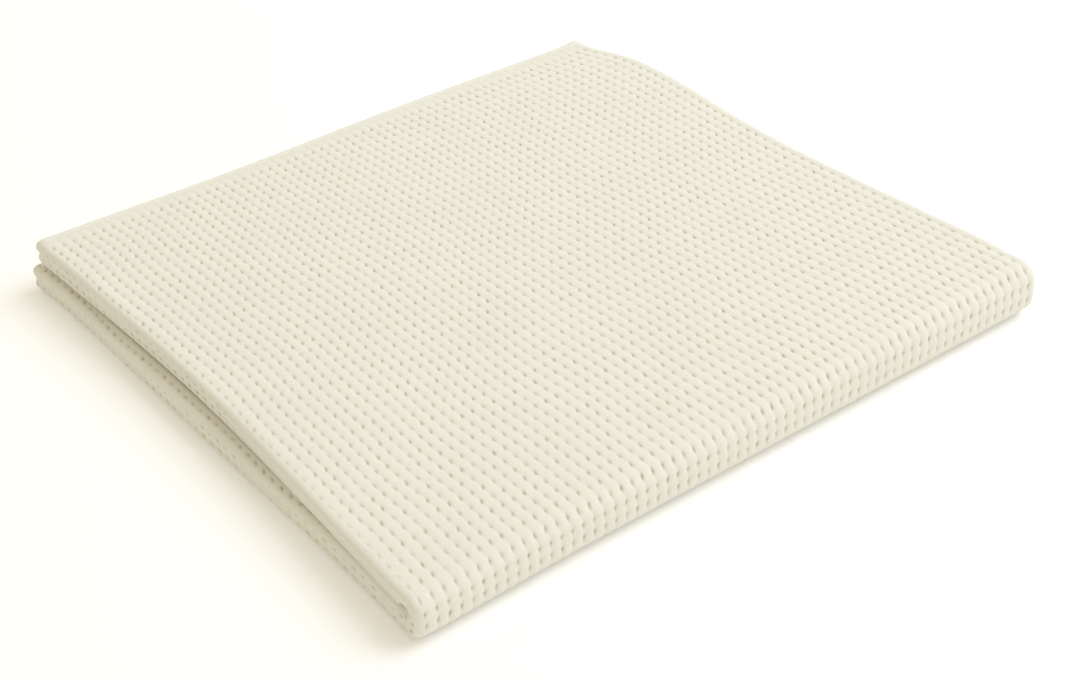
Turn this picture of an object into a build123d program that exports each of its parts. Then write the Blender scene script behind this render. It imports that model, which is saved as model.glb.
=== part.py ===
from build123d import *
from math import pi
import os

# A throw blanket of thick nubby cloth, folded flat. The cloth is first halved across its
# width, so that it lies double, then folded in thirds along its length, and then halved
# again, which gives twelve layers. Millimetres, +Z up, origin on the table under the
# middle of the folded throw.
# +X runs along the front fold, from the nose side to the side with the side turn.
# -Y is the front fold, which joins the bottom half to the top half.
# +Y is the back: the bottom half ends there in the back fold, the top half in its side hems.
# Each half is one pack of six layers: the base third lies outermost, the first flap is
# turned in on it at the side turn, and the last flap is turned in on both at the nose, so
# that the last flaps of the two halves lie face to face. Each third is double, an outer
# and an inner layer of cloth.

# Driving dimensions of the cloth, spread out
cloth_length = 1300.0
cloth_width = 1800.0
cloth_thickness = 2.75

# Driving dimensions of the fold
layer_gap = 0.25  # loft between the layers of one pack
pack_gap = 0.4  # loft between the bottom half and the top half
fold_joint_sweep = 88.5  # degrees of front fold on each side of its opening line
opening_clearance = 0.3  # from the front fold's outermost line to its opening line
top_set_back = 5.0  # the top half's hems stop this far inside the back fold
tuck_set_back = 4.0  # the first flap stops this far short of the nose
inner_end_set_back = 1.5  # the last flap's inner layer ends this far inside its outer one

# Driving dimensions of the sewing
hem_width = 8.0
hem_line_inset = 6.0  # from the hem's edge to its line of stitches
stitch_length = 2.6
stitch_pitch = 4.0
thread_width = 0.6
thread_height = 0.3
stitch_margin = 6.0  # clear length at each end of a line of stitches

# Section of a pack, counted from the base third's outer face
layer_pitch = cloth_thickness + layer_gap
pack_height = 6 * cloth_thickness + 5 * layer_gap
nose_radius = pack_height / 2
turn_radius = 2 * layer_pitch - layer_gap / 2

# Heights of the two halves
top_base = pack_height + pack_gap
stack_height = top_base + pack_height
front_radius = stack_height / 2
back_radius = cloth_thickness + layer_gap / 2

# Straight runs along X: the length less the nose and the side turn of the double cloth
turn_lengths = pi * (2 * layer_pitch + layer_pitch)
run_x = (cloth_length - turn_lengths - turn_radius + tuck_set_back) / 3
width_x = nose_radius + run_x + turn_radius
nose_x = -width_x / 2 + nose_radius
side_turn_x = nose_x + run_x
outer_end_x = side_turn_x + turn_radius
inner_end_x = outer_end_x - inner_end_set_back
tuck_end_x = nose_x + tuck_set_back

# Straight runs along Y: the width less the front fold, passed twice, and the back fold
turn_widths = pi * (pack_height + pack_gap + layer_pitch / 2)
top_extra = back_radius - top_set_back
run_y = (cloth_width - turn_widths - 2 * top_extra) / 4
depth_y = front_radius + run_y + back_radius
front_y = -depth_y / 2 + front_radius
back_y = front_y + run_y
top_edge_y = back_y + top_extra

front_axis = Axis((0, front_y, front_radius), (1, 0, 0))
opening_y = front_y - front_radius - opening_clearance

# Each pack has the height of its underside and whether it lies with its base third up
bottom_pack = (0.0, False)
top_pack = (top_base, True)


def section_plane(y):
    """A plane across the packs at one place on Y, with its own x along X and y along Z."""
    return Plane(origin=(0, y, 0), x_dir=(1, 0, 0), z_dir=(0, -1, 0))


def place(pack, points):
    """Put points of the section into a pack, turned over where the pack is."""
    base, base_up = pack
    return [(x, base + (pack_height - z if base_up else z)) for x, z in points]


def draw_turned_strip(pack, turn_x, centre, radius, side, upper_x, lower_x):
    """Draw cloth that goes round a half turn, with a straight run above and one below.

    The turn bulges towards side, -1 or +1 along X, about the point (turn_x, centre) of
    the section, and radius is that of its outer face.
    """
    inner = radius - cloth_thickness
    start, arc_start, arc_middle, arc_end, end, in_end, in_start, in_middle, in_stop, back = place(
        pack,
        [(upper_x, centre + radius), (turn_x, centre + radius), (turn_x + side * radius, centre),
         (turn_x, centre - radius), (lower_x, centre - radius), (lower_x, centre - inner),
         (turn_x, centre - inner), (turn_x + side * inner, centre), (turn_x, centre + inner),
         (upper_x, centre + inner)])
    with BuildLine() as outline:
        Line(start, arc_start)
        ThreePointArc(arc_start, arc_middle, arc_end)
        if lower_x != turn_x:
            Line(arc_end, end)
        Line(end, in_end)
        if lower_x != turn_x:
            Line(in_end, in_start)
        ThreePointArc(in_start, in_middle, in_stop)
        Line(in_stop, back)
        Line(back, start)
    make_face(outline.edges())


def draw_hem(pack, edge_x, side, layer):
    """Draw the hem at a free end: a strip in line with its layer, its edge rounded."""
    radius = cloth_thickness / 2
    low = layer * layer_pitch
    start_x, round_x = edge_x - side * hem_width, edge_x - side * radius
    low_round, low_start, high_start, high_round, tip = place(
        pack,
        [(round_x, low), (start_x, low), (start_x, low + cloth_thickness),
         (round_x, low + cloth_thickness), (edge_x, low + radius)])
    with BuildLine() as outline:
        Polyline(low_round, low_start, high_start, high_round)
        ThreePointArc(high_round, tip, low_round)
    make_face(outline.edges())


def draw_outer_cover(pack):
    """The base third and the last flap's outer layers, joined round the nose."""
    draw_turned_strip(pack, nose_x, nose_radius, nose_radius, -1, outer_end_x - hem_width,
                      side_turn_x)


def draw_inner_cover(pack):
    """The base third and the last flap's inner layers, joined inside the nose."""
    draw_turned_strip(pack, nose_x, nose_radius, nose_radius - layer_pitch, -1,
                      inner_end_x - hem_width, side_turn_x)


def draw_outer_tuck(pack):
    """The side turn and the first flap's outer layer."""
    draw_turned_strip(pack, side_turn_x, turn_radius, turn_radius, 1, tuck_end_x + hem_width,
                      side_turn_x)


def draw_inner_tuck(pack):
    """The side turn and the first flap's inner layer."""
    draw_turned_strip(pack, side_turn_x, turn_radius, turn_radius - layer_pitch, 1,
                      tuck_end_x + hem_width, side_turn_x)


def draw_outer_end_hem(pack):
    """The end hem of the last flap's outer layer."""
    draw_hem(pack, outer_end_x, 1, 5)


def draw_inner_end_hem(pack):
    """The end hem of the last flap's inner layer."""
    draw_hem(pack, inner_end_x, 1, 4)


def draw_outer_tuck_hem(pack):
    """The end hem of the first flap's outer layer, hidden in the nose."""
    draw_hem(pack, tuck_end_x, -1, 3)


def draw_inner_tuck_hem(pack):
    """The end hem of the first flap's inner layer, hidden in the nose."""
    draw_hem(pack, tuck_end_x, -1, 2)


outer_pieces = {
    "outer_cover": draw_outer_cover,
    "outer_tuck": draw_outer_tuck,
    "outer_end_hem": draw_outer_end_hem,
    "outer_tuck_hem": draw_outer_tuck_hem,
}
inner_pieces = {
    "inner_cover": draw_inner_cover,
    "inner_tuck": draw_inner_tuck,
    "inner_end_hem": draw_inner_end_hem,
    "inner_tuck_hem": draw_inner_tuck_hem,
}


def straight_run(pack, drawings, start_y, end_y):
    """Carry some pieces of the section along Y, as one solid."""
    with BuildPart() as run:
        with BuildSketch(section_plane(start_y)):
            for draw in drawings:
                draw(pack)
        extrude(amount=start_y - end_y)
    return run


def rolled_run(pack, draw, sweep):
    """Turn one piece of the section about the front fold's axis by a number of degrees."""
    with BuildPart() as run:
        with BuildSketch(section_plane(front_y)):
            draw(pack)
        revolve(axis=front_axis, revolution_arc=sweep)
    return run


def back_fold_run(pack):
    """The turn that joins the outer layer to the inner one along the back of a pack."""
    upper = nose_radius + 2 * layer_pitch
    lower = nose_radius - 2 * layer_pitch
    tucked = lower + 2 * layer_pitch
    start, nose_top, nose_tip, nose_foot, turn_foot, turn_tip, turn_top, end = place(
        pack,
        [(outer_end_x, upper), (nose_x, upper), (nose_x - 2 * layer_pitch, nose_radius),
         (nose_x, lower), (side_turn_x, lower), (side_turn_x + layer_pitch, turn_radius),
         (side_turn_x, tucked), (tuck_end_x, tucked)])
    section = Plane(origin=(start[0], back_y, start[1]), x_dir=(0, 1, 0), z_dir=(1, 0, 0))
    with BuildPart() as run:
        with BuildLine(section_plane(back_y)) as route:
            Line(start, nose_top)
            ThreePointArc(nose_top, nose_tip, nose_foot)
            Line(nose_foot, turn_foot)
            ThreePointArc(turn_foot, turn_tip, turn_top)
            Line(turn_top, end)
        with BuildSketch(section):
            with BuildLine():
                CenterArc((0, 0), back_radius, -90, 180)
                CenterArc((0, 0), back_radius - cloth_thickness, -90, 180)
                Line((0, back_radius), (0, back_radius - cloth_thickness))
                Line((0, -back_radius), (0, cloth_thickness - back_radius))
            make_face()
        sweep(path=route.wire())
    return run


def stitch_line(corner, count, along_x):
    """A row of flat stitches on a hem, from one low corner along X or along Y."""
    x, y, z = corner
    size = (stitch_length, thread_width) if along_x else (thread_width, stitch_length)
    steps = [(stitch_pitch * (i + 0.5), 0) if along_x else (0, stitch_pitch * (i + 0.5))
             for i in range(count)]
    with BuildPart() as row:
        with BuildSketch(Plane.XY.offset(z)):
            with Locations(*[(x + step_x, y + step_y) for step_x, step_y in steps]):
                Rectangle(*size)
        extrude(amount=thread_height)
    return row


pieces = {}
for name, draw in (outer_pieces | inner_pieces).items():
    pieces[f"bottom_{name}"] = straight_run(bottom_pack, [draw], front_y, back_y)
    pieces[f"top_{name}"] = straight_run(top_pack, [draw], front_y, top_edge_y - hem_width)
    pieces[f"fold_lower_{name}"] = rolled_run(bottom_pack, draw, -fold_joint_sweep)
    pieces[f"fold_upper_{name}"] = rolled_run(top_pack, draw, fold_joint_sweep)

pieces["back_fold"] = back_fold_run(bottom_pack)
for name, drawings in (("outer", outer_pieces), ("inner", inner_pieces)):
    pieces[f"top_{name}_side_hem"] = straight_run(
        top_pack, drawings.values(), top_edge_y - hem_width, top_edge_y)

side_stitches = int((run_x - 2 * stitch_margin) / stitch_pitch)
pieces["side_hem_thread"] = stitch_line(
    (nose_x + stitch_margin, top_edge_y - hem_line_inset, stack_height), side_stitches, True)
end_stitches = int((top_edge_y - front_y - hem_width - 2 * stitch_margin) / stitch_pitch)
pieces["end_hem_thread"] = stitch_line(
    (outer_end_x - hem_line_inset, front_y + stitch_margin, top_base - thread_height),
    end_stitches, False)

print("width", round(width_x, 2), "depth", round(depth_y, 2), "height", round(stack_height, 2))
print("opening line of the front fold: y", round(opening_y, 3), "z", round(front_radius, 3))

os.makedirs("parts", exist_ok=True)
for name, piece in pieces.items():
    piece.part.label = name
    export_step(piece.part, f"parts/{name}.step")
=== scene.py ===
"""A folded throw of thick nubby cloth, dressed around its CAD frame.

The throw lies double, is folded in thirds along X and halved along Y. All its layers are offsets of one
section line, which runs along X over the last flap, round the nose, along the base third, round the side
turn and along the tucked flap. The base third is outermost: it is the face that shows. That section is
carried along Y over the top half, round the front fold and back over the bottom half. Lengths are in
metres, in the frame of the CAD model.
"""

import logging
import math
from dataclasses import dataclass, field
from enum import Enum
from typing import Any

import bpy
import numpy as np
from mathutils import Matrix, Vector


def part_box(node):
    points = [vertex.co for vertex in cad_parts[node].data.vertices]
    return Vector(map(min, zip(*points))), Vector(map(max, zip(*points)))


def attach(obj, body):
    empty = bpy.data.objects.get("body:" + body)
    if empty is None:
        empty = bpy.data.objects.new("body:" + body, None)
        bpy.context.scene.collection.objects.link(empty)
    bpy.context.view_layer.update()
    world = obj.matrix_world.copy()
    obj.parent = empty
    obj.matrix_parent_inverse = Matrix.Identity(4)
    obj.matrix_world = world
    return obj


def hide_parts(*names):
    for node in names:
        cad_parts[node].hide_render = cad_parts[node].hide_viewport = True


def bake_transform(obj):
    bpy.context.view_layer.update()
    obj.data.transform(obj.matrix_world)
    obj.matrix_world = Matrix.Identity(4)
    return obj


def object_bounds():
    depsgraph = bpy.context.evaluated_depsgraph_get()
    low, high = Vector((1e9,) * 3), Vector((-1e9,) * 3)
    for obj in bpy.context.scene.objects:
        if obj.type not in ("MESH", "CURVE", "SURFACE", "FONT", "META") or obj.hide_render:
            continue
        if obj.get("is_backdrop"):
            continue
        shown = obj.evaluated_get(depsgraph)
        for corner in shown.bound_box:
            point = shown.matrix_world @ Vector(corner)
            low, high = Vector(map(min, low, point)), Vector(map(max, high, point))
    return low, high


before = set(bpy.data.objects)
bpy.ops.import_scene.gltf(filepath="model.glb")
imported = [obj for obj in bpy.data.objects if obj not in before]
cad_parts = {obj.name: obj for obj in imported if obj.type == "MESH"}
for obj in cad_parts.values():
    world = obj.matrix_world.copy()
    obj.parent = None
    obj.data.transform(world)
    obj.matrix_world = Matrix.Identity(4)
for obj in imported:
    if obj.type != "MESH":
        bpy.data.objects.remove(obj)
cad_low, cad_high = (np.array(corner, float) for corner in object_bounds())

log = logging.getLogger("throw")

Array = np.ndarray
MM = 0.001
HALF_TURN = math.pi
QUARTER_TURN = math.pi / 2
RIB_WIDTH = 6.85 * MM  # before it is fitted to a whole number of ribs
LEAST_AREA_SHARE = 0.301  # of its flat rectangle, the least area worked out for a front-fold sheet


def rise(value: Array, low: float, high: float) -> Array:
    """A smooth step: 0 below low, 1 above high, and 3t^2 - 2t^3 between them."""
    t = np.clip((value - low) / (high - low), 0.0, 1.0)
    return t * t * (3.0 - 2.0 * t)


def scatter(a: Array, b: Array, seed: float) -> Array:
    """An even spread from -1 to 1 for each pair of whole numbers: the fraction of a large sine."""
    value = np.sin(a * 127.1 + b * 311.7 + seed * 74.7) * 43758.5453
    return 2.0 * (value - np.floor(value)) - 1.0


class Stretch(Enum):
    """The stretches of the cloth along Y, as the CAD model names them."""

    TOP = "top"
    FOLD = "fold"
    BOTTOM = "bottom"


class Layer(Enum):
    """The two layers of the double cloth."""

    OUTER = "outer"
    INNER = "inner"


@dataclass(frozen=True)
class Section:
    """The section line of a half, seen along Y: x along the throw, and height from the mid-plane side.

    Its run starts at the end hem's tip on the last flap, goes to the nose, back along the base third,
    round the side turn and along the tucked flap to that flap's hem.
    """

    thickness: float
    pitch: float
    half_height: float
    nose_x: float
    side_turn_x: float
    outer_end_x: float
    inner_end_x: float
    tuck_end_x: float
    turn_radius: float
    hem_width: float
    shoulder: float = 1.7 * MM
    pinch_reach: float = 0.30

    @property
    def nose_radius(self) -> float:
        """The nose's outer radius."""
        return self.half_height / 2

    @property
    def knots(self) -> tuple[float, float, float, float, float]:
        """The run's length at the end of the flap, nose, base, side turn and tucked flap."""
        flap = self.outer_end_x - self.nose_x
        nose = flap + HALF_TURN * self.nose_radius
        base = nose + self.side_turn_x - self.nose_x
        side = base + HALF_TURN * self.turn_radius
        return flap, nose, base, side, side + self.side_turn_x - self.tuck_end_x

    def nose_turn(self, s: Array) -> Array:
        """How far round the nose a place lies, from 0 on the flap to pi on the base third."""
        return np.clip((s - self.knots[0]) / self.nose_radius, 0.0, HALF_TURN)

    def at(self, s: Array) -> tuple[Array, Array, Array, Array]:
        """Place points of the run: straight lines joined by half turns.

        Args:
            s: lengths along the run.

        Returns:
            x, height, and the x and height parts of the unit normal that points out of the cloth.
        """
        flap, nose, base, side, _ = self.knots
        turn = self.nose_turn(s)
        back = np.clip((s - base) / self.turn_radius, 0.0, HALF_TURN)
        x = np.where(s < flap, self.outer_end_x - s, self.nose_x - self.nose_radius * np.sin(turn))
        x = np.where(s > nose, self.nose_x + (s - nose), x)
        x = np.where(s > base, self.side_turn_x + self.turn_radius * np.sin(back), x)
        x = np.where(s > side, self.side_turn_x - (s - side), x)
        height = self.nose_radius * (1.0 + np.cos(turn))
        height = np.where(s > base, self.turn_radius * (1.0 - np.cos(back)), height)
        normal_x = np.where(s > base, np.sin(back), -np.sin(turn))
        normal_z = np.where(s > base, -np.cos(back), np.cos(turn))
        return x, self.half_height - height, normal_x, -normal_z

    def fullness(self, s: Array) -> Array:
        """How far the nose stands out past its half turn: most at its shoulders, none at its middle."""
        return self.shoulder * np.sin(2.0 * self.nose_turn(s)) ** 2

    def pinch(self, s: Array) -> Array:
        """The shape of the crease along the middle of the nose: a bell across its half turn."""
        return np.exp(-(((self.nose_turn(s) - QUARTER_TURN) / self.pinch_reach) ** 2))


@dataclass(frozen=True)
class Route:
    """The way of the section along Y: over the top half, round the front fold, under the bottom half.

    Its run is zero at the middle of the front fold, negative over the top and positive under it.
    """

    front_y: float
    back_y: float
    top_edge_y: float
    middle_z: float
    pack_gap: float

    @property
    def quarter(self) -> float:
        """The length of a quarter of the front fold, at its outer face."""
        return QUARTER_TURN * self.middle_z

    @property
    def top_end(self) -> float:
        """The run's length at the top half's edge."""
        return -self.quarter - (self.top_edge_y - self.front_y)

    @property
    def bottom_end(self) -> float:
        """The run's length at the bottom half's back end."""
        return self.quarter + (self.back_y - self.front_y)

    def at(self, q: Array) -> tuple[Array, Array]:
        """Place points of the run.

        Args:
            q: lengths along the run.

        Returns:
            The y of the fold's axis or of the straight run, and the turn from 0 on top to pi below.
        """
        turn = np.clip(q / self.middle_z + QUARTER_TURN, 0.0, HALF_TURN)
        y = self.front_y + np.maximum(0.0, np.abs(q) - self.quarter)
        return y, turn


@dataclass(frozen=True)
class Weave:
    """The cloth's nubby weave: one soft nub and one small dimple to a cell."""

    cell_x: float
    cell_y: float = 9.35 * MM
    groove_depth: float = 0.12 * MM
    dimple_depth: float = 0.95 * MM
    nub_height: float = 0.20 * MM
    ledge_depth: float = 0.08 * MM
    groove_reach: float = 0.15
    ledge_reach: float = 0.16
    dimple_reach_u: float = 0.12
    dimple_reach_v: float = 0.20
    dimple_slant: float = 0.22
    depth_spread: float = 0.22
    nub_spread: float = 0.18
    stray_u: float = 0.03
    stray_v: float = 0.04
    edge_room: float = 0.06
    steps: tuple[float, ...] = (-0.5, -0.24, -0.11, 0.0, 0.11, 0.24)
    coarse_steps: tuple[float, ...] = (-0.5, -0.17, 0.0, 0.17)

    def samples(self, start: float, end: float, cell: float, shift: float, steps: tuple[float, ...]) -> Array:
        """Places where the weave is sampled along one way, closer together near each dimple.

        Args:
            start: first length.
            end: last length.
            cell: the length of a cell.
            shift: the cell count at length zero.
            steps: the places in a cell, counted from its dimple.

        Returns:
            Rising lengths from start to end.
        """
        first = math.floor(start / cell + shift) - 1
        last = math.ceil(end / cell + shift) + 1
        cells = np.arange(first, last + 1, dtype=float)
        places = ((cells[:, None] + np.array(steps)[None, :]).ravel() - shift) * cell
        room = self.edge_room * cell
        inside = places[(places > start + room) & (places < end - room)]
        return np.concatenate([[start], inside, [end]])

    def dimple(self, u: Array, v: Array) -> Array:
        """How deep in its dimple a point lies, from 0 to 1: a bell, longer along v, set a little askew.

        Args:
            u: cells along the section.
            v: cells along the route.

        Returns:
            The mask, 1 at a dimple's middle.
        """
        near_u, near_v = np.round(u), np.round(v)
        du = u - near_u - self.stray_u * scatter(near_u, near_v, 1.0)
        dv = v - near_v - self.stray_v * scatter(near_u, near_v, 2.0)
        askew = du + self.dimple_slant * dv
        depth = 1.0 + self.depth_spread * scatter(near_u, near_v, 3.0)
        bell = np.exp(-((askew / self.dimple_reach_u) ** 2) - (dv / self.dimple_reach_v) ** 2)
        return np.clip(depth * bell, 0.0, 1.2)

    def relief(self, u: Array, v: Array) -> Array:
        """The height of the cloth's face: nubs, less the grooves between the ribs and the dimples.

        Args:
            u: cells along the section.
            v: cells along the route.

        Returns:
            Heights, highest on a nub and about zero there.
        """
        near_u, near_v = np.round(u), np.round(v)
        du, dv = u - near_u, v - near_v
        swell = 1.0 + self.nub_spread * scatter(np.floor(u), np.floor(v), 4.0)
        nub = (0.5 - 0.5 * np.cos(2.0 * HALF_TURN * u)) * (0.5 - 0.5 * np.cos(2.0 * HALF_TURN * v))
        groove = np.exp(-((du / self.groove_reach) ** 2))
        ledge = np.exp(-((dv / self.ledge_reach) ** 2))
        return (
            self.nub_height * (nub * swell - 1.0)
            - self.groove_depth * groove
            - self.ledge_depth * ledge
            - self.dimple_depth * self.dimple(u, v)
        )


@dataclass(frozen=True)
class Drape:
    """The lie of the folded throw: how the neat pack settles into its soft real shape."""

    width: float
    front_y: float
    run_y: float
    middle_z: float
    lower_drop: float = 0.08
    upper_drop: float = 0.33
    side_bow: float = 4.2 * MM
    side_swell: float = 17.0 * MM
    swell_at: float = 0.85
    swell_reach: float = 0.25
    side_slack: float = 2.0 * MM
    back_slack: float = 3.0 * MM
    back_sway: float = 0.55 * MM
    lower_step: float = 5.0 * MM
    corner_step: float = 4.0 * MM
    corner_reach: float = 2.4 * MM
    fold_bow: float = 2.8 * MM
    ear_lift: float = 2.6 * MM
    ear_reach: float = 11.0 * MM
    end_round: float = 20.0 * MM
    end_thinning: float = 0.10

    def middle_height(self, x: float) -> float:
        """The height of the plane between the halves at the front fold: it falls evenly towards the nose."""
        return self.middle_z * (1.0 - self.lower_drop * (0.5 - x / self.width))

    def settle(self, x: Array, y: Array, z: Array, lower: Array) -> Array:
        """Move points of the neat pack to where they lie.

        Each half thins evenly along X towards the corner of nose and front fold, the top half more,
        and less so towards the back. On the nose side the top half bows in along its middle, and the
        bottom half bows out and steps out towards the back. The other side swells out near its back, and
        the front fold's end there is thinned. The front fold stands a little forward, most at the nose's
        corner, and the top half's back corner on the free side is lifted.

        Args:
            x, y, z: the neat places.
            lower: 0 on the top half, 1 on the bottom half.

        Returns:
            An array of points.
        """
        across = x / self.width + 0.5
        along = np.clip((y - self.front_y) / self.run_y, 0.0, 1.0)
        to_back = rise(along, 0.0, 1.0)
        nose_side = np.clip(1.0 - across, 0.0, 1.1) ** 4
        free_side = np.clip(across, 0.0, 1.1) ** 4
        bow = self.side_bow * np.sin(HALF_TURN * along) ** 2 * (1.0 - 1.5 * lower)
        bow = (bow - self.corner_reach * (1.0 - along) ** 8) * nose_side
        step = -(self.lower_step * along**1.2 * lower + self.corner_step * along**6) * nose_side
        swell = self.side_swell * np.exp(-(((along - self.swell_at) / self.swell_reach) ** 2))
        swell = swell * (1.0 - 0.6 * rise(along, 0.86, 1.0))
        swell = (swell + self.side_slack) * free_side
        fold_line = -self.fold_bow - self.corner_reach * (1.0 - rise(across, 0.0, 0.25))
        set_back = fold_line * (1.0 - along) ** 4 + self.back_slack * along**4 * rise(across, 0.3, 1.0)
        reach = (x - 0.5 * self.width) ** 2 + (y - self.front_y - self.run_y) ** 2
        ear = self.ear_lift * np.exp(-reach / self.ear_reach**2) * (1.0 - lower)
        end = np.clip((x - 0.5 * self.width) / self.end_round + 1.0, 0.0, 1.0) ** 2
        front = (1.0 - rise(y, self.front_y, self.front_y + 1.5 * self.end_round)) * end
        z = self.middle_z + (z - self.middle_z) * (1.0 - self.end_thinning * front)
        x = x + bow + step + swell
        near_corner = (0.5 - x / self.width) * (1.0 - to_back)
        sway = self.back_sway * np.sin(9.0 * across + 2.0) * np.sin(7.0 * along)
        sway = sway * (z / self.middle_z) * to_back
        low, high = np.minimum(z, self.middle_z), np.maximum(z - self.middle_z, 0.0)
        z = low * (1.0 - self.lower_drop * near_corner) + high * (1.0 - self.upper_drop * near_corner)
        return np.stack([x, y + set_back, z + ear + sway], axis=-1)


@dataclass(frozen=True)
class Cloth:
    """The cloth as a surface of two lengths: s along the section and q along the route.

    The hollow is how deep the nose end of the front fold is drawn in around the fold's axis. Where the
    weave is pulled smooth, the cloth lies lower by the smooth depth.
    """

    section: Section
    route: Route
    weave: Weave
    drape: Drape
    hollow: float = 9.0 * MM
    hollow_reach: float = 6.0 * MM
    hollow_from_end: float = 30.0 * MM
    rib_wander: float = 0.75 * MM
    row_wander: float = 0.85 * MM
    smooth_depth: float = 0.12 * MM
    least_radius: float = 0.08 * MM
    fold_fullness: float = 0.13

    @property
    def seam(self) -> float:
        """Where the front fold's pieces meet the straight ones: on the nubs past the fold's quarter."""
        return math.ceil(self.route.quarter / self.weave.cell_y) * self.weave.cell_y

    def cells(self, s: Array, q: Array) -> tuple[Array, Array]:
        """Count the weave's cells along the section and along the route."""
        return (s - self.section.knots[1]) / self.weave.cell_x + 0.5, q / self.weave.cell_y + 0.5

    def wander(self, s: Array, q: Array) -> tuple[Array, Array]:
        """The slow waver of the ribs and rows: sums of long sines, still at the hems and at the fold.

        Args:
            s: lengths along the section.
            q: lengths along the route.

        Returns:
            The shifts of s and q.
        """
        free_s = rise(s, 0.012, 0.05) * (1.0 - rise(s, self.section.knots[2] - 0.03, self.section.knots[2]))
        free_q = rise(q, self.route.top_end + 0.012, self.route.top_end + 0.05)
        free_q = free_q * rise(np.abs(q), self.route.quarter, self.route.quarter + 0.05)
        free_q = free_q * (1.0 - rise(q, self.route.bottom_end - 0.05, self.route.bottom_end - 0.012))
        shift_s = np.sin(31.0 * q + 4.0 * np.sin(9.0 * s)) + 0.6 * np.sin(67.0 * q + 23.0 * s)
        shift_q = np.sin(29.0 * s + 3.0 * np.sin(11.0 * q)) + 0.6 * np.sin(59.0 * s - 31.0 * q)
        return self.rib_wander * shift_s * free_s * free_q, self.row_wander * shift_q * free_s * free_q

    def woven(self, s: Array, q: Array) -> Array:
        """How clearly the weave shows at places of the cloth, from 0 to 1.

        It fades out at the top half's hem, where the cloth turns tightly about the front fold's axis,
        and, in part, where the top half's nose is pulled taut near the front fold.
        """
        flap, nose, _, _, _ = self.section.knots
        _, height, _, _ = self.section.at(s)
        _, turn = self.route.at(q)
        near_axis = 1.0 - rise(height + self.route.pack_gap, 0.0, 5.0 * MM)
        hem_line = self.route.top_end + self.section.hem_width
        clear = rise(q, hem_line - 2.0 * MM, hem_line + 6.0 * MM)
        taut = rise(s, flap, flap + 6.0 * MM) * (1.0 - rise(s, nose - 7.0 * MM, nose))
        taut = 0.75 * taut * (1.0 - rise(turn, 0.1 * HALF_TURN, 0.5 * HALF_TURN))
        taut = taut * (1.0 - rise(-q, 0.1, 0.3))
        return clear * (1.0 - np.sin(turn) * near_axis) * (1.0 - taut)

    def relief(self, s: Array, q: Array) -> Array:
        """The weave's relief at places of the cloth."""
        woven = self.woven(s, q)
        return self.weave.relief(*self.cells(s, q)) * woven - self.smooth_depth * (1.0 - woven)

    def place(self, s: Array, q: Array, offset: Array | float) -> Array:
        """Place points of the cloth.

        A point of the section is moved along its normal by the offset and the nose's own shape. Its
        height then counts as a radius about the front fold's axis, and the draped pack follows from
        the route.

        Args:
            s: lengths along the section.
            q: lengths along the route.
            offset: distances inwards from the neat section line.

        Returns:
            Points, in an array one dimension larger than s.
        """
        shift_s, shift_q = self.wander(s, q)
        s_moved = s + shift_s
        x, height, normal_x, normal_z = self.section.at(s_moved)
        y, turn = self.route.at(q + shift_q)
        to_back = np.clip((y - self.route.front_y) / (self.route.back_y - self.route.front_y), 0.0, 1.0)
        lift = self.section.fullness(s_moved) - offset
        lift = lift - (0.5 + 1.1 * to_back) * MM * self.section.pinch(s_moved)
        return self.carry(x + normal_x * lift, height + normal_z * lift, y, turn)

    def carry(self, x: Array, height: Array, y: Array, turn: Array) -> Array:
        """Turn a point of the section about the fold's axis and let it settle.

        The turn is fuller at its shoulders than a half circle.

        Args:
            x: place along the throw.
            height: distance from the plane between the halves, less half their gap.
            y: the axis of the turn.
            turn: 0 on the top half and pi on the bottom half.

        Returns:
            The draped points.
        """
        radius = np.maximum(height + self.route.pack_gap / 2, self.least_radius)
        radius = radius * (1.0 + self.fold_fullness * np.sin(2.0 * turn) ** 2)
        nose_side = rise(-x, 0.5 * self.drape.width - self.hollow_from_end, 0.5 * self.drape.width)
        x = x + self.hollow * np.exp(-((radius / self.hollow_reach) ** 2)) * np.sin(turn) ** 2 * nose_side
        lower = rise(turn, 0.25 * HALF_TURN, 0.75 * HALF_TURN)
        return self.drape.settle(
            x, y - radius * np.sin(turn), self.route.middle_z + radius * np.cos(turn), lower
        )


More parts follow.
